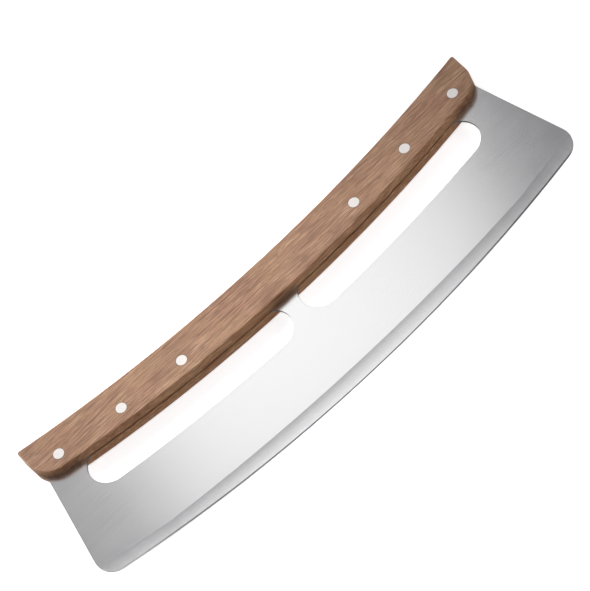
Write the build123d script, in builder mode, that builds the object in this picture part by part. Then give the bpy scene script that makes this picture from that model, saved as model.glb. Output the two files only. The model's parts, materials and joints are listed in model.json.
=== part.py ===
from build123d import *
import os
from math import atan2, cos, degrees, hypot, radians, sin, sqrt, tan

# Rocking pizza knife: a curved steel plate, ground sharp along its long convex
# edge, with two finger slots under a wooden handle. The handle is two scales,
# one on each side of the plate, held by six two-part rivets.
#
# The knife is drawn flat in its own plane: x along the knife, y from the
# middle of the cutting edge towards the handle, z out of the front face.
# That plane then lies on the table as the knife does when it is put down,
# on the middle of its cutting edge and on the lower edge of the rear scale.
# Lengths are in millimetres and angles in degrees.

# Blade plate
blade_length = 350.0
blade_thickness = 1.5
cutting_radius = 890.0
side_lean = 11.3
corner_radius = 13.0

# Ground edge, the same on both faces
bevel_width = 10.2
bevel_heel_radius = 1205.0
bevel_foot_thickness = 0.45
grinding_wheel_radius = 160.0
bevel_run_out = 45.0
run_out_angle = 10.8
hone_angle = 18.0
edge_thickness = 0.12
hone_overrun = 5.0

# Finger slots
slot_low_height = 50.3
slot_low_radius = 966.0
slot_hidden_depth = 2.8
slot_end_wall = 21.5
bridge_width = 10.6

# Handle
handle_low_height = 73.5
handle_low_radius = 881.0
handle_width = 26.1
handle_top_radius = 947.0
handle_end_setback = 9.2
handle_end_lean = 2.9
handle_corner_radius = 15.8
handle_tip_radius = 1.2
scale_thickness = 6.4
scale_arris_chamfer = 0.4
tang_inset = 0.6

# Rivets
rivets_per_side = 3
rivet_pitch = 42.0
rivet_end_margin = 16.8
rivet_rise = 9.4
rivet_line_radius = 960.0
rivet_head_diameter = 6.5
rivet_head_thickness = 1.4
socket_diameter = 4.1
socket_mouth_gap = 0.8
stud_diameter = 3.0
stud_tip_gap = 0.4
stud_tip_chamfer = 0.3
rivet_bore_floor = 0.5
rivet_fit_clearance = 0.02
rivet_hole_clearance = 0.1


def sagitta(radius, x):
    """Rise of a circle of this radius at a distance x from its lowest point."""
    return radius - sqrt(radius**2 - x**2)


def on_curve(height, radius, x):
    """Point at x on an arc that is lowest at x = 0, at this height."""
    return (x, height + sagitta(radius, x))


def long_curve(height, radius, half_length):
    """Arc from left to right that is lowest in the middle, at this height."""
    return ThreePointArc(
        on_curve(height, radius, -half_length),
        (0, height),
        on_curve(height, radius, half_length),
    )


# Sizes that follow from the ones above
half_plate = blade_thickness / 2
half_thickness = half_plate + scale_thickness
handle_top_height = handle_low_height + handle_width

corner_x = blade_length / 2 - corner_radius
corner_y = cutting_radius - sqrt((cutting_radius - corner_radius) ** 2 - corner_x**2)
lean = radians(side_lean)
side_foot_x = corner_x + (corner_radius + corner_y * sin(lean)) / cos(lean)


def side_x(y):
    """Half width of the blade between its straight leaning sides."""
    return side_foot_x - y * tan(lean)


slot_height = handle_low_height + slot_hidden_depth - slot_low_height
slot_end_radius = slot_height / 2
slot_mid_height = slot_low_height + slot_end_radius
slot_mid_radius = slot_low_radius - slot_end_radius
slot_inner_x = bridge_width / 2 + slot_end_radius
slot_outer_x = side_x(handle_low_height) - slot_end_wall - slot_end_radius

tip_x = blade_length / 2 - handle_end_setback
tip_y = handle_top_height + sagitta(handle_top_radius, tip_x)
end_foot_x = tip_x - (tip_y - handle_low_height) * tan(radians(handle_end_lean))

rivet_line_height = handle_low_height + rivet_rise
outer_rivet_x = tip_x - rivet_end_margin
rivet_xs = [outer_rivet_x - rivet_pitch * i for i in range(rivets_per_side)]
rivet_places = [
    on_curve(rivet_line_height, rivet_line_radius, x)
    for x in sorted(rivet_xs + [-x for x in rivet_xs])
]

# Across the middle of the blade, the grinding wheel's rim goes through the heel
# of the bevel and through its foot, above the cutting edge
bevel_depth = half_plate - bevel_foot_thickness / 2
bevel_chord = hypot(bevel_width, bevel_depth)
wheel_distance = sqrt(grinding_wheel_radius**2 - (bevel_chord / 2) ** 2)
wheel_y = bevel_width / 2 - wheel_distance * bevel_depth / bevel_chord
wheel_z = half_plate - bevel_depth / 2 + wheel_distance * bevel_width / bevel_chord

# The honed bevel rises from the edge until it meets the wheel's rim
hone_slope = tan(radians(hone_angle))
hone_start_z = edge_thickness / 2
rim_square = 1 + hone_slope**2
rim_middle = wheel_y + (wheel_z - hone_start_z) * hone_slope
rim_rest = wheel_y**2 + (wheel_z - hone_start_z) ** 2 - grinding_wheel_radius**2
shoulder_y = (rim_middle - sqrt(rim_middle**2 - rim_square * rim_rest)) / rim_square
shoulder_z = hone_start_z + shoulder_y * hone_slope

# How the knife lies: the table touches this shoulder, close to the edge, and
# the lower side of the rear scale's outer face
contact_reach = handle_low_height + scale_arris_chamfer - shoulder_y
rest_tilt = atan2(half_thickness - shoulder_z, contact_reach)

# The origin is on the table, under the middle of the knife's box
tip_peak_y = handle_top_height + sagitta(handle_top_radius, tip_x - handle_tip_radius)
near_side = -edge_thickness / 2 * sin(rest_tilt)
far_side = tip_peak_y * cos(rest_tilt)
far_side += (half_thickness - scale_arris_chamfer) * sin(rest_tilt)
edge_height = shoulder_z * cos(rest_tilt) - shoulder_y * sin(rest_tilt)

knife_plane = Plane(
    origin=(0, -(near_side + far_side) / 2, edge_height),
    x_dir=(1, 0, 0),
    z_dir=(0, -sin(rest_tilt), cos(rest_tilt)),
)
front_face = knife_plane.offset(half_thickness)
rear_face = Plane(
    origin=knife_plane.offset(-half_thickness).origin,
    x_dir=-knife_plane.x_dir,
    z_dir=-knife_plane.z_dir,
)

# Outline of the handle: two long curves between ends that lean outwards, with
# a sharp tip at the top and a large round at the bottom
with BuildSketch() as handle_outline:
    with BuildLine():
        low_curve = long_curve(handle_low_height, handle_low_radius, tip_x)
        top_curve = long_curve(handle_top_height, handle_top_radius, tip_x)
        Line(low_curve @ 0, top_curve @ 0)
        Line(low_curve @ 1, top_curve @ 1)
    make_face()
    with BuildLine():
        Polyline(
            (end_foot_x, handle_low_height),
            (tip_x, tip_y),
            (-tip_x, tip_y),
            (-end_foot_x, handle_low_height),
            close=True,
        )
    make_face(mode=Mode.INTERSECT)
    fillet(handle_outline.vertices().group_by(Axis.Y)[0], handle_corner_radius)
    fillet(handle_outline.vertices().group_by(Axis.Y)[-1], handle_tip_radius)

# The tang is the same outline, a little smaller, so the wood stands proud
with BuildSketch() as tang_outline:
    add(handle_outline.sketch)
    offset(amount=-tang_inset, mode=Mode.REPLACE)

# One finger slot follows the handle, and the other mirrors it
with BuildLine() as slot_spine:
    ThreePointArc(
        on_curve(slot_mid_height, slot_mid_radius, slot_inner_x),
        on_curve(slot_mid_height, slot_mid_radius, (slot_inner_x + slot_outer_x) / 2),
        on_curve(slot_mid_height, slot_mid_radius, slot_outer_x),
    )

with BuildSketch() as finger_slots:
    SlotArc(slot_spine.wire(), slot_height)
    mirror(about=Plane.YZ)

# Outline of the whole plate
with BuildSketch() as plate_outline:
    with BuildLine():
        edge_curve = long_curve(0, cutting_radius, side_foot_x)
        shoulder_curve = long_curve(rivet_line_height, rivet_line_radius, side_foot_x)
        Line(edge_curve @ 0, shoulder_curve @ 0)
        Line(edge_curve @ 1, shoulder_curve @ 1)
    make_face()
    with BuildLine():
        Polyline(
            (side_foot_x, 0),
            (side_x(tip_y), tip_y),
            (-side_x(tip_y), tip_y),
            (-side_foot_x, 0),
            close=True,
        )
    make_face(mode=Mode.INTERSECT)
    fillet(plate_outline.vertices().group_by(Axis.Y)[0], corner_radius)
    add(tang_outline.sketch)
    add(finger_slots.sketch, mode=Mode.SUBTRACT)
    with Locations(*rivet_places):
        Circle(socket_diameter / 2 + rivet_hole_clearance, mode=Mode.SUBTRACT)


# The main bevel is ground hollow, by a wheel whose centre follows an arc that is
# flatter than the edge, so the bevel is widest in the middle
with BuildPart(knife_plane.offset(wheel_z)) as main_bevel:
    with Locations((0, bevel_width + bevel_heel_radius)):
        Torus(bevel_width + bevel_heel_radius - wheel_y, grinding_wheel_radius)

# Near each end of the blade the wheel runs out along a straight line instead,
# where the bevel stays about as wide as far as the corner
run_out_x = blade_length / 2 - bevel_run_out
run_out_y = bevel_width + sagitta(bevel_heel_radius, run_out_x)
with BuildPart(knife_plane.offset(wheel_z)) as end_bevels:
    for side in (1, -1):
        with Locations(Location((side * run_out_x, run_out_y), side * run_out_angle)):
            with Locations((0, wheel_y - bevel_width)):
                Cylinder(grinding_wheel_radius, 4 * bevel_run_out, rotation=(0, 90, 0))

# The honed bevel is steeper and narrow, and follows the edge all along: what
# lies outside this ruled surface is taken off
hone_run = (half_plate - hone_start_z) / hone_slope
with BuildPart() as honed_bevel:
    for height, z in ((hone_run, half_plate), (0, hone_start_z)):
        with BuildSketch(knife_plane.offset(z)):
            with BuildLine():
                curve = long_curve(height, cutting_radius - height, side_foot_x)
                Polyline(
                    curve @ 1,
                    (side_foot_x, -hone_overrun),
                    (-side_foot_x, -hone_overrun),
                    curve @ 0,
                )
            make_face()
    loft(ruled=True)

with BuildPart() as blade:
    with BuildSketch(knife_plane):
        add(plate_outline.sketch)
    extrude(amount=half_plate, both=True)
    for cutter in (main_bevel, end_bevels, honed_bevel):
        add(cutter.part, mode=Mode.SUBTRACT)
        mirror(cutter.part, about=knife_plane, mode=Mode.SUBTRACT)

os.makedirs("parts", exist_ok=True)
blade.part.label = "blade"
export_step(blade.part, "parts/blade.step")


def make_scale(name, outer_face):
    """One scale of the handle, from its outer face down to the plate."""
    with BuildPart(outer_face) as scale:
        with BuildSketch(outer_face):
            add(handle_outline.sketch)
        extrude(amount=-scale_thickness)
        outside = scale.faces().sort_by(Axis(outer_face.origin, outer_face.z_dir))[-1]
        chamfer(outside.edges(), scale_arris_chamfer)
        with Locations(*rivet_places):
            CounterBoreHole(
                radius=socket_diameter / 2 + rivet_hole_clearance,
                counter_bore_radius=rivet_head_diameter / 2 + rivet_fit_clearance,
                counter_bore_depth=rivet_head_thickness,
            )
    scale.part.label = name
    export_step(scale.part, f"parts/{name}.step")


make_scale("front_scale", front_face)
make_scale("rear_scale", rear_face)


def make_rivet_half(name, outer_face, place, profile):
    """Round piece turned about the axis of a rivet hole.

    The profile is a list of points, each a distance from the axis and a depth
    below the outer face of the scale.
    """
    centre = outer_face.from_local_coords(place)
    section = Plane(origin=centre, x_dir=outer_face.x_dir, z_dir=-outer_face.y_dir)
    with BuildPart() as half:
        with BuildSketch(section):
            with BuildLine():
                Polyline(*[(r, -depth) for r, depth in profile], close=True)
            make_face()
        revolve(axis=Axis(centre, outer_face.z_dir))
    half.part.label = name
    export_step(half.part, f"parts/{name}.step")


# Both halves of a rivet have the same head, ground flush with the wood
head_radius = rivet_head_diameter / 2
head_rim = [(0, 0), (head_radius, 0), (head_radius, rivet_head_thickness)]

# The stud goes in from the front, down into the socket from the back. Each
# head seats on the floor of its counterbore.
total_thickness = 2 * half_thickness
socket_radius = socket_diameter / 2
stud_radius = stud_diameter / 2
socket_bore_radius = stud_radius + rivet_fit_clearance
socket_floor = rivet_head_thickness + rivet_bore_floor
socket_end = total_thickness - rivet_head_thickness - socket_mouth_gap
stud_end = total_thickness - socket_floor - stud_tip_gap

stud_profile = head_rim + [
    (stud_radius, rivet_head_thickness),
    (stud_radius, stud_end - stud_tip_chamfer),
    (stud_radius - stud_tip_chamfer, stud_end),
    (0, stud_end),
]
socket_profile = head_rim + [
    (socket_radius, rivet_head_thickness),
    (socket_radius, socket_end),
    (socket_bore_radius, socket_end),
    (socket_bore_radius, socket_floor),
    (0, socket_floor),
]

# The rear face is seen from behind, so its x runs the other way
for number, (x, y) in enumerate(rivet_places, start=1):
    make_rivet_half(f"rivet_stud_{number}", front_face, (x, y), stud_profile)
    make_rivet_half(f"rivet_socket_{number}", rear_face, (-x, y), socket_profile)

print(f"Rest tilt {degrees(rest_tilt):.2f} degrees")
print(f"Finger slots {slot_height:.1f} high, out to {slot_outer_x + slot_end_radius:.1f}")
print("Rivets at", [(round(x, 1), round(y, 1)) for x, y in rivet_places])
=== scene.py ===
import bisect
import json
import math

import bmesh
import bpy
from mathutils import Matrix, Vector
from mathutils.geometry import delaunay_2d_cdt


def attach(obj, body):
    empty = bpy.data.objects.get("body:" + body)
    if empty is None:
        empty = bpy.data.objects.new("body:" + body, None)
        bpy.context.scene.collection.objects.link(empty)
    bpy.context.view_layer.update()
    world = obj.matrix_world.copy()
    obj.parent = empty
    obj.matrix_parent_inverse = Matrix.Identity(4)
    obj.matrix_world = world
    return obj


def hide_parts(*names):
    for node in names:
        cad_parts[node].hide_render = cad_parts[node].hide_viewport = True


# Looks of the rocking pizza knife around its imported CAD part, in metres. The
# blade and the scales get finer meshes, worked out from the CAD nodes, and the
# rivets keep their nodes. All are drawn in the knife's own plane: x along the
# knife, y from the middle of the cutting edge to the handle, z out of its front.
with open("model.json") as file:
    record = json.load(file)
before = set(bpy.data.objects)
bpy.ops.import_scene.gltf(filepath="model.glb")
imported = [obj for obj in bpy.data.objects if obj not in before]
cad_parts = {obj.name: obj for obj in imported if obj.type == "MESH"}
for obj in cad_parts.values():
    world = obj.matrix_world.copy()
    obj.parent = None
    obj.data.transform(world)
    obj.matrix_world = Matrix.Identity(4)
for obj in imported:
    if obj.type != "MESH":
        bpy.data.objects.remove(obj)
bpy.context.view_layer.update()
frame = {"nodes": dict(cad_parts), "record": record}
nodes = frame["nodes"]

MM = 0.001
BODY = "root"

# Ground edge, with the same sizes as in the part
CUTTING_RADIUS = 890.0 * MM
BEVEL_WIDTH = 10.2 * MM
BEVEL_HEEL_RADIUS = 1205.0 * MM
BEVEL_FOOT_THICKNESS = 0.45 * MM
GRINDING_WHEEL_RADIUS = 160.0 * MM
BEVEL_RUN_OUT = 45.0 * MM
RUN_OUT_ANGLE = math.radians(10.8)
HONE_SLOPE = math.tan(math.radians(18.0))
EDGE_THICKNESS = 0.12 * MM

# Bridge between the finger slots, their far ends, and the rivets, as in the part
BRIDGE_WIDTH = 10.6 * MM
SLOT_FAR_END = 144.7 * MM
RIVET_RADIUS = 3.25 * MM
RIVETS = 6

# Finer forms than the CAD solids carry
BEVEL_ROWS = 8
BEVEL_COLUMN_STEP = 3.0 * MM
PLATE_EDGE_BREAK = 0.12 * MM
PLATE_EDGE_SEGMENTS = 2
ARRIS_ROUNDING = 0.18 * MM
ARRIS_SEGMENTS = 3
ROUND = 0.5

# Limits that tell the CAD meshes' walls, faces and edges apart
WELD = 0.002 * MM
FLAT_ANGLE = math.radians(0.5)
SHARP_ANGLE = math.radians(2.5)
SQUARE_ANGLE = math.radians(60)
CHAMFER_ANGLES = (math.radians(35), math.radians(55))
WALL_TILT = 0.5
SCALE_FACE_TILT = 0.6

# Steps of the search for the honed bevel's border, and the kind of fill for a face
HALVINGS = 40
TRIANGLES_INSIDE = 1

# Materials of the blade and of a scale, by their place in the piece's list
FACE, BEVEL, WALL, HONED = range(4)
SCALE_FACE, SCALE_SIDE = range(2)


# The knife's own plane, from the two flat faces of its handle
mounts = {m["name"]: m for m in frame["record"]["mounts"]}
front_mount, rear_mount = mounts["front_handle_face"], mounts["rear_handle_face"]
out_of_face = Vector(front_mount["axis"]).normalized()
along = Vector((1, 0, 0))
up_the_blade = out_of_face.cross(along)
middle = (Vector(front_mount["pos_m"]) + Vector(rear_mount["pos_m"])) / 2
lowest = min((v.co - middle).dot(up_the_blade) for v in nodes["blade"].data.vertices)
edge_middle = middle + up_the_blade * lowest
knife_to_row = Matrix.Translation(edge_middle) @ Matrix(
    (along, up_the_blade, out_of_face)
).transposed().to_4x4()
row_to_knife = knife_to_row.inverted()


def welded(name):
    """The CAD node's mesh in the knife's plane, with its split corners joined."""
    bm = bmesh.new()
    bm.from_mesh(nodes[name].data)
    bm.transform(row_to_knife)
    bmesh.ops.remove_doubles(bm, verts=bm.verts, dist=WELD)
    bm.normal_update()
    return bm


def finished_piece(name, bm, materials, replaced):
    """Turns the mesh into a shown piece that stands for a CAD node."""
    bm.transform(knife_to_row)
    mesh = bpy.data.meshes.new(name)
    bm.to_mesh(mesh)
    bm.free()
    mesh.shade_smooth()
    mesh.set_sharp_from_angle(angle=SHARP_ANGLE)
    piece = bpy.data.objects.new(name, mesh)
    bpy.context.scene.collection.objects.link(piece)
    for material in materials:
        mesh.materials.append(material)
    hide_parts(replaced)
    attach(piece, BODY)


# Blade


def arc_height(height, radius, x):
    """Height at x of an arc whose lowest point is at x = 0, at this height."""
    return height + radius - math.sqrt(radius**2 - x**2)


half_plate = max((row_to_knife @ v.co).z for v in nodes["blade"].data.vertices)

# Rim of the grinding wheel, through the heel and the foot of the bevel
bevel_depth = half_plate - BEVEL_FOOT_THICKNESS / 2
bevel_chord = math.hypot(BEVEL_WIDTH, bevel_depth)
wheel_distance = math.sqrt(GRINDING_WHEEL_RADIUS**2 - (bevel_chord / 2) ** 2)
wheel_y = BEVEL_WIDTH / 2 - wheel_distance * bevel_depth / bevel_chord
wheel_z = half_plate - bevel_depth / 2 + wheel_distance * BEVEL_WIDTH / bevel_chord
run_out_x = max(v.co.x for v in nodes["blade"].data.vertices) - BEVEL_RUN_OUT
run_out_y = arc_height(BEVEL_WIDTH, BEVEL_HEEL_RADIUS, run_out_x)


def honed_height(x, y):
    """Height of the honed bevel above the middle of the plate."""
    inwards = CUTTING_RADIUS - math.hypot(x, CUTTING_RADIUS - y)
    return EDGE_THICKNESS / 2 + inwards * HONE_SLOPE


def wheel_height(below_heel):
    """Height of the wheel's rim at a distance below the heel that it grinds."""
    across = BEVEL_WIDTH - wheel_y - below_heel
    return wheel_z - math.sqrt(GRINDING_WHEEL_RADIUS**2 - across**2)


def hollow_height(x, y):
    """Height of the main bevel, and of its straight run-outs near the ends."""
    in_arc = math.hypot(x, BEVEL_WIDTH + BEVEL_HEEL_RADIUS - y) - BEVEL_HEEL_RADIUS
    past, above = abs(x) - run_out_x, y - run_out_y
    in_line = past * math.sin(RUN_OUT_ANGLE) - above * math.cos(RUN_OUT_ANGLE)
    return min(wheel_height(in_arc), wheel_height(in_line))


def half_thickness(x, y):
    """Height of the blade's face above the middle of the plate."""
    return min(half_plate, honed_height(x, y), hollow_height(x, y))


def heel_y(x):
    """Height of the bevel's upper border at x."""
    straight = run_out_y + (abs(x) - run_out_x) * math.tan(RUN_OUT_ANGLE)
    return max(arc_height(BEVEL_WIDTH, BEVEL_HEEL_RADIUS, x), straight)


def outline_loops(bm):
    """Closed loops (x, y) where the walls of the plate meet its front face."""

    def is_wall(face):
        """Whether a face stands across the plate."""
        return abs(face.normal.z) < WALL_TILT

    ahead = {}
    for edge in bm.edges:
        if len(edge.link_faces) != 2:
            continue
        walls = [f for f in edge.link_faces if is_wall(f)]
        fronts = [f for f in edge.link_faces if f.normal.z >= WALL_TILT]
        if len(walls) == 1 and len(fronts) == 1:
            a, b = edge.verts
            ahead.setdefault(a.index, []).append(b.index)
            ahead.setdefault(b.index, []).append(a.index)
    bm.verts.ensure_lookup_table()
    loops, left = [], set(ahead)
    while left:
        start = min(left)
        loop, here, before = [], start, None
        while True:
            loop.append(tuple(bm.verts[here].co.xy))
            left.discard(here)
            onward = [i for i in ahead[here] if i != before]
            before, here = here, onward[0]
            if here == start:
                break
        loops.append(loop)
    return sorted(loops, key=len, reverse=True)


def interpolated(points, x):
    """Height at x of a run of points that is sorted by x."""
    i = bisect.bisect_right([p[0] for p in points], x)
    i = min(max(i, 1), len(points) - 1)
    (x0, y0), (x1, y1) = points[i - 1], points[i]
    return y0 + (y1 - y0) * (x - x0) / (x1 - x0)


def is_inside(ring, point):
    """Whether a point lies in a closed ring of vertices, counted by crossings."""
    inside = False
    for a, b in zip(ring, ring[1:] + ring[:1]):
        if (a.co.y > point.y) != (b.co.y > point.y):
            share = (point.y - a.co.y) / (b.co.y - a.co.y)
            inside ^= point.x < a.co.x + share * (b.co.x - a.co.x)
    return inside


def shoulder_y(x, low, high):
    """Where the honed bevel ends and the hollow one starts, on a column."""
    for _ in range(HALVINGS):
        y = (low + high) / 2
        if honed_height(x, y) < hollow_height(x, y):
            low = y
        else:
            high = y
    return (low + high) / 2


def bevel_columns(below):
    """Places along the edge, from end to end, between which the bevel has its faces."""
    stations = sorted([p[0] for p in below] + [-run_out_x, run_out_x])
    columns = []
    for x0, x1 in zip(stations, stations[1:]):
        steps = max(1, math.ceil((x1 - x0) / BEVEL_COLUMN_STEP))
        columns += [x0 + (x1 - x0) * i / steps for i in range(steps)]
    return columns + stations[-1:]


def add_bevels(bm, below):
    """Rows of faces from the cutting edge up to the heel, whose corners it returns."""
    grid = []
    for x in bevel_columns(below)[1:-1]:
        low, high = interpolated(below, x), heel_y(x)
        inner = shoulder_y(x, low, high)
        ys = [low] + [inner + (high - inner) * i / BEVEL_ROWS for i in range(BEVEL_ROWS + 1)]
        grid.append([bm.verts.new((x, y, half_thickness(x, y))) for y in ys])
    for at, (x, y) in ((0, below[0]), (len(grid) + 1, below[-1])):
        grid.insert(at, [bm.verts.new((x, y, half_plate)) for _ in range(BEVEL_ROWS + 2)])
    for left, right in zip(grid, grid[1:]):
        for i in range(BEVEL_ROWS + 1):
            face = bm.faces.new((left[i], right[i], right[i + 1], left[i + 1]))
            face.material_index = BEVEL if i else HONED
    return [column[-1] for column in grid]


def outline_above(widest, below):
    """The outline's points above the bevel, from its right end back to its left one."""
    start = widest.index(below[0])
    turned = widest[start:] + widest[:start]
    if turned[1] in below:
        turned = turned[:1] + turned[:0:-1]
    return [p for p in turned[::-1] if p not in below]


def add_flat_face(bm, rings):
    """Fills the first ring of corners with triangles, and leaves the rings inside it open."""
    corners = [v for ring in rings for v in ring]
    edges, first = [], 0
    for ring in rings:
        edges += [(first + i, first + (i + 1) % len(ring)) for i in range(len(ring))]
        first += len(ring)
    filled = delaunay_2d_cdt([v.co.xy for v in corners], edges, [], TRIANGLES_INSIDE, WELD / 10)
    points, _, triangles, given = filled[:4]
    for triangle in triangles:
        centre = sum((points[i] for i in triangle), Vector((0, 0))) / len(triangle)
        if not any(is_inside(ring, centre) for ring in rings[1:]):
            bm.faces.new([corners[given[i][0]] for i in triangle]).material_index = FACE


def add_back_and_walls(bm):
    """Mirrors the front to the back, and joins the two by walls."""
    bm.verts.index_update()
    front = list(bm.verts)
    sheet = [([v.index for v in f.verts], f.material_index) for f in bm.faces]
    border = [[v.index for v in e.verts] for e in bm.edges if len(e.link_faces) == 1]
    back = [bm.verts.new((v.co.x, v.co.y, -v.co.z)) for v in front]
    for corners, material_index in sheet:
        bm.faces.new([back[i] for i in reversed(corners)]).material_index = material_index
    for a, b in border:
        bm.faces.new((front[a], front[b], back[b], back[a])).material_index = WALL
    bmesh.ops.recalc_face_normals(bm, faces=bm.faces)


def blade_mesh():
    """The blade: flat faces, hollow and honed bevels in rows, and walls."""
    source = welded("blade")
    loops = outline_loops(source)
    source.free()
    widest = max(loops, key=lambda loop: max(p[0] for p in loop))
    below = sorted(p for p in widest if p[1] <= heel_y(p[0]) + WELD)

    bm = bmesh.new()
    rings = [add_bevels(bm, below)]
    rings[0] += [bm.verts.new((x, y, half_plate)) for x, y in outline_above(widest, below)]
    for loop in loops:
        if loop is not widest:
            rings.append([bm.verts.new((x, y, half_plate)) for x, y in loop])
    add_flat_face(bm, rings)
    bmesh.ops.remove_doubles(bm, verts=bm.verts, dist=WELD)
    bmesh.ops.dissolve_degenerate(bm, edges=bm.edges, dist=WELD / 2)
    bm.normal_update()
    for face in bm.faces:
        if face.normal.z < 0:
            face.normal_flip()
    add_back_and_walls(bm)
    break_plate_edges(bm)
    return bm


def break_plate_edges(bm):
    """Takes the sharpness off the plate's edges, where it has its full thickness."""

    def at_full_thickness(edge):
        """Whether an edge lies in one of the plate's flat faces."""
        return all(abs(abs(v.co.z) - half_plate) < WELD for v in edge.verts)

    bm.normal_update()
    square = [
        e for e in bm.edges
        if e.is_manifold and e.calc_face_angle() > SQUARE_ANGLE and at_full_thickness(e)
    ]
    bmesh.ops.bevel(
        bm,
        geom=square,
        offset=PLATE_EDGE_BREAK,
        segments=PLATE_EDGE_SEGMENTS,
        profile=ROUND,
        affect="EDGES",
        # The breaks take the walls' near-black colour, which is painted shade
        material=WALL,
    )


# Scales and rivets


def scale_mesh(name):
    """A scale of the handle, its chamfered arris rounded."""
    bm = welded(name)
    bmesh.ops.dissolve_limit(bm, angle_limit=FLAT_ANGLE, verts=bm.verts, edges=bm.edges)
    bm.normal_update()
    least, most = CHAMFER_ANGLES
    chamfered = [e for e in bm.edges if e.is_manifold and least < e.calc_face_angle() < most]
    bmesh.ops.bevel(
        bm,
        geom=chamfered,
        offset=ARRIS_ROUNDING,
        segments=ARRIS_SEGMENTS,
        profile=ROUND,
        affect="EDGES",
    )
    bm.normal_update()
    for face in bm.faces:
        face.material_index = SCALE_FACE if abs(face.normal.z) > SCALE_FACE_TILT else SCALE_SIDE
    return bm


def head_centre(name, outwards):
    """Middle of a rivet half's head, at the face of the scale."""
    corners = [row_to_knife @ v.co for v in nodes[name].data.vertices]
    xs, ys, zs = zip(*corners)
    height = max(z * outwards for z in zs) * outwards
    return knife_to_row @ Vector(((min(xs) + max(xs)) / 2, (min(ys) + max(ys)) / 2, height))


# Materials


def node_tree(material):
    """The material's node tree, made empty."""
    material.use_nodes = True
    tree = material.node_tree
    tree.nodes.clear()
    return tree


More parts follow.
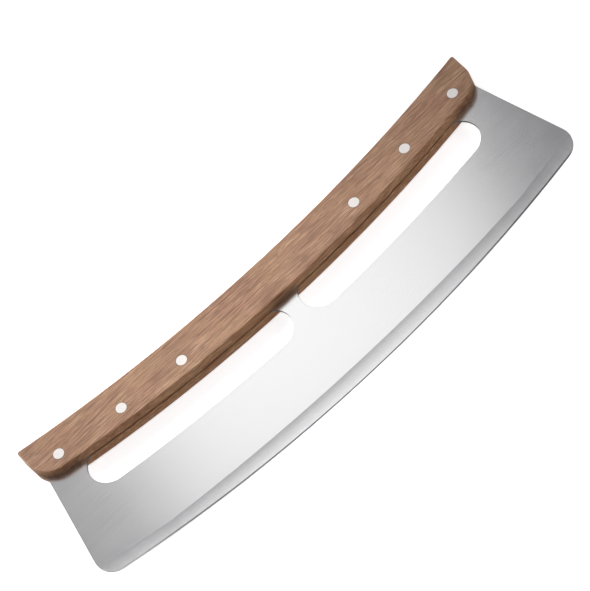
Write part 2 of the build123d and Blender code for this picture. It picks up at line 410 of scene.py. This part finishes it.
class Shader:
    """A material's node tree, with short calls for the nodes that it is made of."""

    def __init__(self, name):
        self.material = bpy.data.materials.new(name)
        self.tree = node_tree(self.material)
        self.surface = self.node("ShaderNodeBsdfPrincipled")
        output = self.node("ShaderNodeOutputMaterial")
        self.tree.links.new(self.surface.outputs[0], output.inputs["Surface"])
        coordinates = self.node("ShaderNodeTexCoord")
        self.place = coordinates.outputs["Object"]
        self.normal = coordinates.outputs["Normal"]

    def node(self, kind, **settings):
        """A new node of this kind, with these settings."""
        made = self.tree.nodes.new(kind)
        for name, value in settings.items():
            setattr(made, name, value)
        return made

    def feed(self, socket, value):
        """Links the socket to another node's output, or gives it a constant."""
        if isinstance(value, bpy.types.NodeSocket):
            self.tree.links.new(value, socket)
        else:
            socket.default_value = value

    def set(self, **inputs):
        """Feeds inputs of the surface, named with underscores for spaces."""
        for name, value in inputs.items():
            self.feed(self.surface.inputs[name.replace("_", " ")], value)

    def math(self, operation, *values):
        """Result of an operation on one to three values."""
        made = self.node("ShaderNodeMath", operation=operation)
        for socket, value in zip(made.inputs, values):
            self.feed(socket, value)
        return made.outputs[0]

    def stretched(self, size, shift=(0, 0, 0)):
        """The piece's own coordinates, counted in steps of this size along each axis."""
        made = self.node("ShaderNodeMapping")
        self.feed(made.inputs["Vector"], self.place)
        made.inputs["Scale"].default_value = [1 / s for s in size]
        made.inputs["Location"].default_value = shift
        return made.outputs[0]

    def noise(self, vector, detail=2.0, roughness=0.5, distortion=0.0):
        """Smooth random values, mostly within NOISE_SPAN."""
        made = self.node("ShaderNodeTexNoise")
        self.feed(made.inputs["Vector"], vector)
        made.inputs["Scale"].default_value = 1.0
        made.inputs["Detail"].default_value = detail
        made.inputs["Roughness"].default_value = roughness
        made.inputs["Distortion"].default_value = distortion
        return made.outputs["Fac"]

    def ramp(self, value, low, high, to_low=0.0, to_high=1.0, smooth=False):
        """Takes a value between two limits to a value between two others."""
        made = self.node("ShaderNodeMapRange")
        made.interpolation_type = "SMOOTHSTEP" if smooth else "LINEAR"
        names = ("Value", "From Min", "From Max", "To Min", "To Max")
        for name, fed in zip(names, (value, low, high, to_low, to_high)):
            self.feed(made.inputs[name], fed)
        return made.outputs[0]

    def total(self, *parts):
        """Sum of values, each with its weight."""
        result = self.math("MULTIPLY", *parts[0])
        for value, weight in parts[1:]:
            result = self.math("MULTIPLY_ADD", value, weight, result)
        return result

    def distance(self, places):
        """Distance to the nearest of these places, on the level."""
        flat = self.node("ShaderNodeVectorMath", operation="MULTIPLY")
        self.feed(flat.inputs[0], self.place)
        flat.inputs[1].default_value = (1, 1, 0)
        nearest = None
        for place in places:
            made = self.node("ShaderNodeVectorMath", operation="DISTANCE")
            self.feed(made.inputs[0], flat.outputs[0])
            made.inputs[1].default_value = (place.x, place.y, 0)
            found = made.outputs["Value"]
            nearest = found if nearest is None else self.math("MINIMUM", nearest, found)
        return nearest

    def reach_along(self, vector, axis):
        """How far a vector reaches along a fixed axis."""
        made = self.node("ShaderNodeVectorMath", operation="DOT_PRODUCT")
        self.feed(made.inputs[0], vector)
        made.inputs[1].default_value = axis
        return made.outputs["Value"]

    def painted_plate_corner_shade(self, size):
        """Mask of painted shade in a scale's corner at the plate: 1 there, 0 past this size and at
        a slot.
        """
        height = self.reach_along(self.place, out_of_face)
        off_plate = self.math("ABSOLUTE", self.math("SUBTRACT", height, middle.dot(out_of_face)))
        near = self.ramp(off_plate, half_plate, half_plate + size, 1.0, 0.0)
        below = self.ramp(self.reach_along(self.normal, up_the_blade), *FACING_DOWN, 1.0, 0.0)
        across = self.math("ABSOLUTE", self.reach_along(self.place, along))
        bridge = self.ramp(across, BRIDGE_WIDTH / 2, BRIDGE_WIDTH / 2 + size, 1.0, 0.0)
        ends = self.ramp(across, SLOT_FAR_END - size, SLOT_FAR_END)
        beside_slots = self.math("MAXIMUM", bridge, ends)
        return self.math("MULTIPLY", self.math("MULTIPLY", near, below), beside_slots)

    def mix(self, share, a, b):
        """Two colours mixed, with this share of the second."""
        made = self.node("ShaderNodeMix", data_type="RGBA")
        self.feed(made.inputs["Factor"], share)
        self.feed(made.inputs["A"], a)
        self.feed(made.inputs["B"], b)
        return made.outputs["Result"]

    def bump(self, height, distance):
        """Normal of a surface that rises by this distance where the height is 1."""
        made = self.node("ShaderNodeBump")
        made.inputs["Strength"].default_value = 1.0
        made.inputs["Distance"].default_value = distance
        self.feed(made.inputs["Height"], height)
        return made.outputs[0]

    def direction(self, x, y, z):
        """A fixed direction of the knife's plane, in the row frame."""
        made = self.node("ShaderNodeCombineXYZ")
        turned = knife_to_row.to_3x3() @ Vector((x, y, z))
        for socket, value in zip(made.inputs, turned):
            socket.default_value = value
        return made.outputs[0]


# The curve of screen colours: straight up to its foot, and a power above it
SCREEN_WHITE = 255
CURVE_FOOT, CURVE_SLOPE = 0.04045, 12.92
CURVE_OFFSET, CURVE_POWER = 0.055, 2.4


def linear(level):
    """Amount of light that one channel of a screen colour stands for."""
    level /= SCREEN_WHITE
    if level <= CURVE_FOOT:
        return level / CURVE_SLOPE
    return ((level + CURVE_OFFSET) / (1 + CURVE_OFFSET)) ** CURVE_POWER


def colour(red, green, blue):
    """A colour that is given as on screen, in the linear form that nodes take."""
    return (linear(red), linear(green), linear(blue), 1.0)


# Most values of a noise lie in this span, and the most common ones in its middle
NOISE_SPAN = (0.35, 0.65)
BROAD_NOISE_SPAN = (0.3, 0.7)

# How far a normal reaches up the blade where a face starts and stops to face down
FACING_DOWN = (-0.5, 0.0)

# A pattern with this size along an axis doesn't change along it, on an object of this size
UNCHANGED = 1.0

# Ground steel: its grinding lines, drawn along or across the knife, and broad clouds
STEEL_DIM = (0.71, 0.71, 0.706)
STEEL_BRIGHT = (0.78, 0.78, 0.776)
FINE_LINES = {"along": (40 * MM, 0.15 * MM, UNCHANGED), "across": (0.3 * MM, 12 * MM, UNCHANGED)}
BROAD_LINES = {"along": (60 * MM, 1.5 * MM, UNCHANGED), "across": (2.5 * MM, 30 * MM, UNCHANGED)}
STEEL_CLOUDS = (28 * MM, 20 * MM, UNCHANGED)
SHADE_SHARES = (0.3, 0.3, 0.4)
STEEL_RELIEF = 0.002 * MM
ROUGHNESS_SPREAD = 0.08

# Cut steel: the plate's walls, whose near-black colour is painted shade
CUT_SHADE_DIM = (0.06, 0.057, 0.053, 1)
CUT_SHADE_BRIGHT = (0.10, 0.095, 0.09, 1)
CUT_STREAKS = (0.5 * MM, 0.5 * MM, 3 * MM)
CUT_ROUGHNESS = (0.4, 0.5)
CUT_RELIEF = 0.01 * MM

# Rivets
RIVET_DIM = (0.93, 0.895, 0.86, 1)
RIVET_BRIGHT = (0.99, 0.955, 0.915, 1)
RIVET_MOTTLE = (0.8 * MM, 0.8 * MM, 0.8 * MM)
RIVET_ROUGHNESS = (0.32, 0.38)
RIVET_RELIEF = 0.01 * MM

# Wood: its colours, and the sizes of its grain along, across and through the handle
WOOD_DARK = colour(148, 104, 74)
WOOD_LIGHT = colour(198, 149, 117)
WOOD_TAN = colour(188, 148, 109)
# Colour of the pores, and of the rim round each rivet: painted shade of the gap round its head,
# with dark dirt
WOOD_PORE_AND_RIM_SHADE = colour(92, 58, 38)
WOOD_PALE = colour(226, 186, 150)
# Painted shade for the corner where a scale's lower edge meets the plate
WOOD_CORNER_SHADE = colour(42, 30, 27)
BANDS = (60 * MM, 5 * MM, 5 * MM)
PATCHES = (28 * MM, 9 * MM, 9 * MM)
FIBRES = (20 * MM, 0.55 * MM, 0.55 * MM)
PORES = (5 * MM, 0.3 * MM, 0.5 * MM)
STREAKS = (14 * MM, 0.5 * MM, 0.5 * MM)
GRAIN_RELIEF = 0.04 * MM

# Wood: where a seed moves the grain to, which of its values take which colour, and
# by what share at most
SEED_SHARES = (1, 0.7, 0.3)
TONE_SHARES = (0.75, 0.13, 0.12)
TONE_SPAN = (0.42, 0.58)
TAN_SPAN, TAN_SHARE = (0.4, 0.64), 0.45
PALE_SPAN, PALE_SHARE = (0.57, 0.68), 0.6
DARK_STREAK_SPAN, DARK_STREAK_SHARE = (0.42, 0.31), 0.55
PORE_LIMITS = (0.64, 0.56)
PORE_FADE, PORE_SHARE = 0.06, 0.6
SIDE_PORE_SHARE = 0.5
# Rim round each rivet, painted shade of the gap round its head with dark dirt in it: width and
# share at most
RIM_SHADE_WIDTH, RIM_SHADE_SHARE = 0.6 * MM, 0.9
# How far the painted shade in the corner at the plate reaches, and how dark it gets at most
CORNER_SHADE_SIZE, CORNER_SHADE_SHARE = 5.5 * MM, 0.5
GRAIN_SPAN = (0.38, 0.62)
SIDE_ROUGHNESS, SIDE_GLOSS = (0.62, 0.52), 0.05
FACE_ROUGHNESS, FACE_GLOSS = (0.38, 0.30), 0.8


def brushed_steel(name, lines, roughness, anisotropy, shine=1.0):
    """Satin steel with fine grinding lines in one direction of the knife's plane."""
    s = Shader(name)
    scratches = s.noise(s.stretched(FINE_LINES[lines]), detail=3)
    broad = s.noise(s.stretched(BROAD_LINES[lines]))
    clouds = s.noise(s.stretched(STEEL_CLOUDS), detail=4)
    shade = s.total(*zip((scratches, broad, clouds), SHADE_SHARES))
    dim, bright = ([v * shine for v in grey] + [1] for grey in (STEEL_DIM, STEEL_BRIGHT))
    smoothest, roughest = roughness * (1 - ROUGHNESS_SPREAD), roughness * (1 + ROUGHNESS_SPREAD)
    s.set(
        Metallic=1.0,
        Base_Color=s.mix(s.ramp(shade, *NOISE_SPAN), dim, bright),
        Roughness=s.ramp(shade, *NOISE_SPAN, smoothest, roughest),
        Anisotropic=anisotropy,
        Tangent=s.direction(0, 1, 0) if lines == "along" else s.direction(1, 0, 0),
        Normal=s.bump(scratches, STEEL_RELIEF),
    )
    return s.material


def cut_steel_painted_dark(name):
    """The plate's cut edges: duller than its ground faces, and near-black, which is painted shade.
    """
    s = Shader(name)
    streaks = s.noise(s.stretched(CUT_STREAKS), detail=3)
    s.set(
        Metallic=1.0,
        Base_Color=s.mix(s.ramp(streaks, *NOISE_SPAN), CUT_SHADE_DIM, CUT_SHADE_BRIGHT),
        Roughness=s.ramp(streaks, *NOISE_SPAN, *CUT_ROUGHNESS),
        Normal=s.bump(streaks, CUT_RELIEF),
    )
    return s.material


def rivet_steel(name):
    """Bright metal, ground flush, with no direction to its lines."""
    s = Shader(name)
    mottle = s.noise(s.stretched(RIVET_MOTTLE), detail=3)
    s.set(
        Metallic=1.0,
        Base_Color=s.mix(s.ramp(mottle, *BROAD_NOISE_SPAN), RIVET_DIM, RIVET_BRIGHT),
        Roughness=s.ramp(mottle, *BROAD_NOISE_SPAN, *RIVET_ROUGHNESS),
        Normal=s.bump(mottle, RIVET_RELIEF),
    )
    return s.material


def handle_wood(name, seed, is_side, rivet_places):
    """Fine straight-grained hardwood: bands, fibres, streaks and short dark pores."""
    s = Shader(name)
    shift = [seed * share for share in SEED_SHARES]
    bands = s.noise(s.stretched(BANDS, shift), detail=3, distortion=0.3)
    patches = s.noise(s.stretched(PATCHES, shift), detail=2)
    fibres = s.noise(s.stretched(FIBRES, shift), detail=3, roughness=0.6)
    pores = s.noise(s.stretched(PORES, shift), detail=1)
    streaks = s.noise(s.stretched(STREAKS, shift), detail=1)

    # Fibres set the tone, between tan patches and under pale streaks
    tone = s.total(*zip((fibres, bands, patches), TONE_SHARES))
    wood = s.mix(s.ramp(tone, *TONE_SPAN), WOOD_DARK, WOOD_LIGHT)
    wood = s.mix(s.ramp(patches, *TAN_SPAN, 0.0, TAN_SHARE), wood, WOOD_TAN)
    wood = s.mix(s.ramp(streaks, *PALE_SPAN, 0.0, PALE_SHARE, smooth=True), wood, WOOD_PALE)

    # Short pores crowd together in the bands, and long dark streaks run between them
    limit = s.ramp(bands, *NOISE_SPAN, *PORE_LIMITS)
    short = s.ramp(s.math("SUBTRACT", pores, limit), 0.0, PORE_FADE, smooth=True)
    long = s.ramp(streaks, *DARK_STREAK_SPAN, 0.0, DARK_STREAK_SHARE, smooth=True)
    dark = s.math("MAXIMUM", s.math("MULTIPLY", short, PORE_SHARE), long)
    if is_side:
        dark = s.math("MULTIPLY", dark, SIDE_PORE_SHARE)
    wood = s.mix(dark, wood, WOOD_PORE_AND_RIM_SHADE)

    # Painted shade with dark dirt in a rim round each rivet, and painted shade in the corner at the
    # plate
    off_rivets = s.distance(rivet_places)
    rim = (RIVET_RADIUS, RIVET_RADIUS + RIM_SHADE_WIDTH)
    wood = s.mix(s.ramp(off_rivets, *rim, RIM_SHADE_SHARE, 0.0, smooth=True), wood, WOOD_PORE_AND_RIM_SHADE)
    # Painted shade on the side faces, in the corner where they meet the plate beside the slots
    if is_side:
        corner_shade = s.math("MULTIPLY", s.painted_plate_corner_shade(CORNER_SHADE_SIZE), CORNER_SHADE_SHARE)
        wood = s.mix(corner_shade, wood, WOOD_CORNER_SHADE)
    s.set(
        Base_Color=wood,
        Roughness=s.ramp(tone, *GRAIN_SPAN, *(SIDE_ROUGHNESS if is_side else FACE_ROUGHNESS)),
        Specular_IOR_Level=SIDE_GLOSS if is_side else FACE_GLOSS,
        Normal=s.bump(s.math("MULTIPLY_ADD", dark, -1.0, fibres), GRAIN_RELIEF),
    )
    return s.material


# Pieces, which stand for the CAD nodes


def make_blade():
    """The blade, with its flat faces, main bevels, walls and honed bevels told apart."""
    steels = [
        brushed_steel("face_steel", "along", roughness=0.22, anisotropy=0.7),
        brushed_steel("bevel_steel", "across", roughness=0.24, anisotropy=0.4),
        # The walls' near-black colour is painted shade
        cut_steel_painted_dark("wall_steel_painted_shade"),
        # The honed bevel's steel is dimmed, at shine 0.44: painted shade for the dark line along
        # the cutting edge
        brushed_steel("honed_steel", "across", roughness=0.17, anisotropy=0.4, shine=0.44),
    ]
    finished_piece("blade_plate", blade_mesh(), steels, "blade")


def make_scale(side, rivet_half, outwards, seed):
    """A wooden scale, with painted shade and dark dirt in a rim round the rivets' heads on its
    side.
    """
    heads = [head_centre(f"rivet_{rivet_half}_{i}", outwards) for i in range(1, RIVETS + 1)]
    woods = [
        handle_wood(f"{side}_face_wood", seed, False, heads),
        handle_wood(f"{side}_side_wood", seed, True, heads),
    ]
    mesh = scale_mesh(f"{side}_scale")
    finished_piece(f"{side}_scale_wood", mesh, woods, f"{side}_scale")


def finish_rivets():
    """Gives the rivets, which keep their CAD nodes, their metal."""
    metal = rivet_steel("rivet_finish")
    for name, node in nodes.items():
        if name.startswith("rivet_"):
            node.data.materials.clear()
            node.data.materials.append(metal)


make_blade()
make_scale("front", "stud", outwards=1, seed=3.0)
make_scale("rear", "socket", outwards=-1, seed=8.0)
finish_rivets()


# Stage and light

FLOOR_SIZE = 12.0
FLOOR_SEGMENTS = 4
FLOOR_PAINT = (0.88, 0.88, 0.88, 1)
FLOOR_GLOW = 0.68
WORLD_TINT = (1.0, 0.985, 1.03, 1)
WORLD_STRENGTH = 0.26
KNIFE_CENTRE = (0, 0, 0.006)


def floor_paper():
    """Pale paper that glows for the lens, metal and glass, so that it shows white."""
    material = bpy.data.materials.new("floor_paper")
    tree = node_tree(material)
    link = tree.links.new
    path = tree.nodes.new("ShaderNodeLightPath")
    seen = path.outputs["Is Camera Ray"]
    for ray in ("Is Glossy Ray", "Is Transmission Ray"):
        either = tree.nodes.new("ShaderNodeMath")
        either.operation = "MAXIMUM"
        link(seen, either.inputs[0])
        link(path.outputs[ray], either.inputs[1])
        seen = either.outputs[0]
    amount = tree.nodes.new("ShaderNodeMath")
    amount.operation = "MULTIPLY"
    amount.inputs[1].default_value = FLOOR_GLOW
    glow = tree.nodes.new("ShaderNodeEmission")
    diffuse = tree.nodes.new("ShaderNodeBsdfDiffuse")
    diffuse.inputs["Color"].default_value = FLOOR_PAINT
    both = tree.nodes.new("ShaderNodeAddShader")
    output = tree.nodes.new("ShaderNodeOutputMaterial")
    link(seen, amount.inputs[0])
    link(amount.outputs[0], glow.inputs["Strength"])
    link(diffuse.outputs[0], both.inputs[0])
    link(glow.outputs[0], both.inputs[1])
    link(both.outputs[0], output.inputs["Surface"])
    return material


def make_floor():
    """A level floor under the knife, which keeps its shadow."""
    bm = bmesh.new()
    bmesh.ops.create_grid(
        bm, x_segments=FLOOR_SEGMENTS, y_segments=FLOOR_SEGMENTS, size=FLOOR_SIZE / 2
    )
    mesh = bpy.data.meshes.new("floor")
    bm.to_mesh(mesh)
    bm.free()
    mesh.materials.append(floor_paper())
    floor = bpy.data.objects.new("floor", mesh)
    bpy.context.scene.collection.objects.link(floor)


def softbox(name, place, aim, width, height, radiance, spread=180.0):
    """A rectangular lamp at this place, turned to a point, of the given brightness."""
    data = bpy.data.lights.new(name, "AREA")
    data.shape = "RECTANGLE"
    data.size = width
    data.size_y = height
    data.energy = radiance * math.pi * width * height
    data.spread = math.radians(spread)
    lamp = bpy.data.objects.new(name, data)
    lamp.location = place
    lamp.rotation_mode = "QUATERNION"
    lamp.rotation_quaternion = (Vector(aim) - Vector(place)).to_track_quat("-Z", "Y")
    lamp.visible_camera = False
    bpy.context.scene.collection.objects.link(lamp)


def direction(azimuth, elevation):
    """Towards a place seen at this azimuth, 0 at the near side, and elevation."""
    a, e = math.radians(azimuth), math.radians(elevation)
    return Vector((math.sin(a) * math.cos(e), -math.cos(a) * math.cos(e), math.sin(e)))


def seen_at(azimuth, elevation, distance, aim=KNIFE_CENTRE):
    """The place that is seen from this aim at this azimuth, elevation and distance."""
    return Vector(aim) + direction(azimuth, elevation) * distance


def make_lamps():
    """Two lamps that the steel mirrors, a key for the handle, and fills."""
    left_of_middle = (-0.03, 0, 0.006)
    softbox(
        "mirror_softbox",
        place=seen_at(165.5, 59.3, 1.6),
        aim=KNIFE_CENTRE,
        width=0.495,
        height=0.68,
        radiance=1.08,
    )
    softbox(
        "mirror_border",
        place=seen_at(198, 59.3, 1.62),
        aim=KNIFE_CENTRE,
        width=1.1,
        height=0.72,
        radiance=0.22,
    )
    softbox(
        "key_softbox",
        place=seen_at(-140, 42, 1.0, left_of_middle),
        aim=left_of_middle,
        width=0.28,
        height=0.28,
        radiance=0.88,
        spread=17,
    )
    softbox(
        "front_fill",
        place=seen_at(60, 32, 1.2),
        aim=KNIFE_CENTRE,
        width=0.5,
        height=0.4,
        radiance=3.1,
    )
    softbox(
        "overhead_left",
        place=(-0.42, -0.18, 1.2),
        aim=(-0.10, -0.03, 0),
        width=0.4,
        height=0.3,
        radiance=1.9,
    )


def make_world():
    """Dim studio light from all sides."""
    world = bpy.data.worlds.new("studio")
    bpy.context.scene.world = world
    world.use_nodes = True
    background = world.node_tree.nodes["Background"]
    background.inputs["Color"].default_value = WORLD_TINT
    background.inputs["Strength"].default_value = WORLD_STRENGTH


make_floor()
make_lamps()
make_world()

# Camera: the photograph's view, where the lens points, from where, and its tilt

CAMERA_AZIMUTH = -10.80
CAMERA_ELEVATION = 49.92
CAMERA_ROLL = -34.27
CAMERA_DISTANCE = 1.5439
CAMERA_TARGET = Vector((0.00541, 0.0140, 0.0058))
CAMERA_LENS = 170.52
CAMERA_SENSOR = 36.0


def make_camera():
    """The camera of the photograph's view."""
    data = bpy.data.cameras.new("camera")
    data.sensor_fit = "HORIZONTAL"
    data.sensor_width = CAMERA_SENSOR
    data.lens = CAMERA_LENS
    camera = bpy.data.objects.new("camera", data)
    bpy.context.scene.collection.objects.link(camera)
    back = direction(CAMERA_AZIMUTH, CAMERA_ELEVATION)
    place = Matrix.Translation(CAMERA_TARGET + back * CAMERA_DISTANCE)
    turn = (-back).to_track_quat("-Z", "Y").to_matrix().to_4x4()
    roll = Matrix.Rotation(math.radians(CAMERA_ROLL), 4, "Z")
    camera.matrix_world = place @ turn @ roll
    bpy.context.scene.camera = camera


make_camera()
bpy.context.scene.view_settings.view_transform = "Standard"
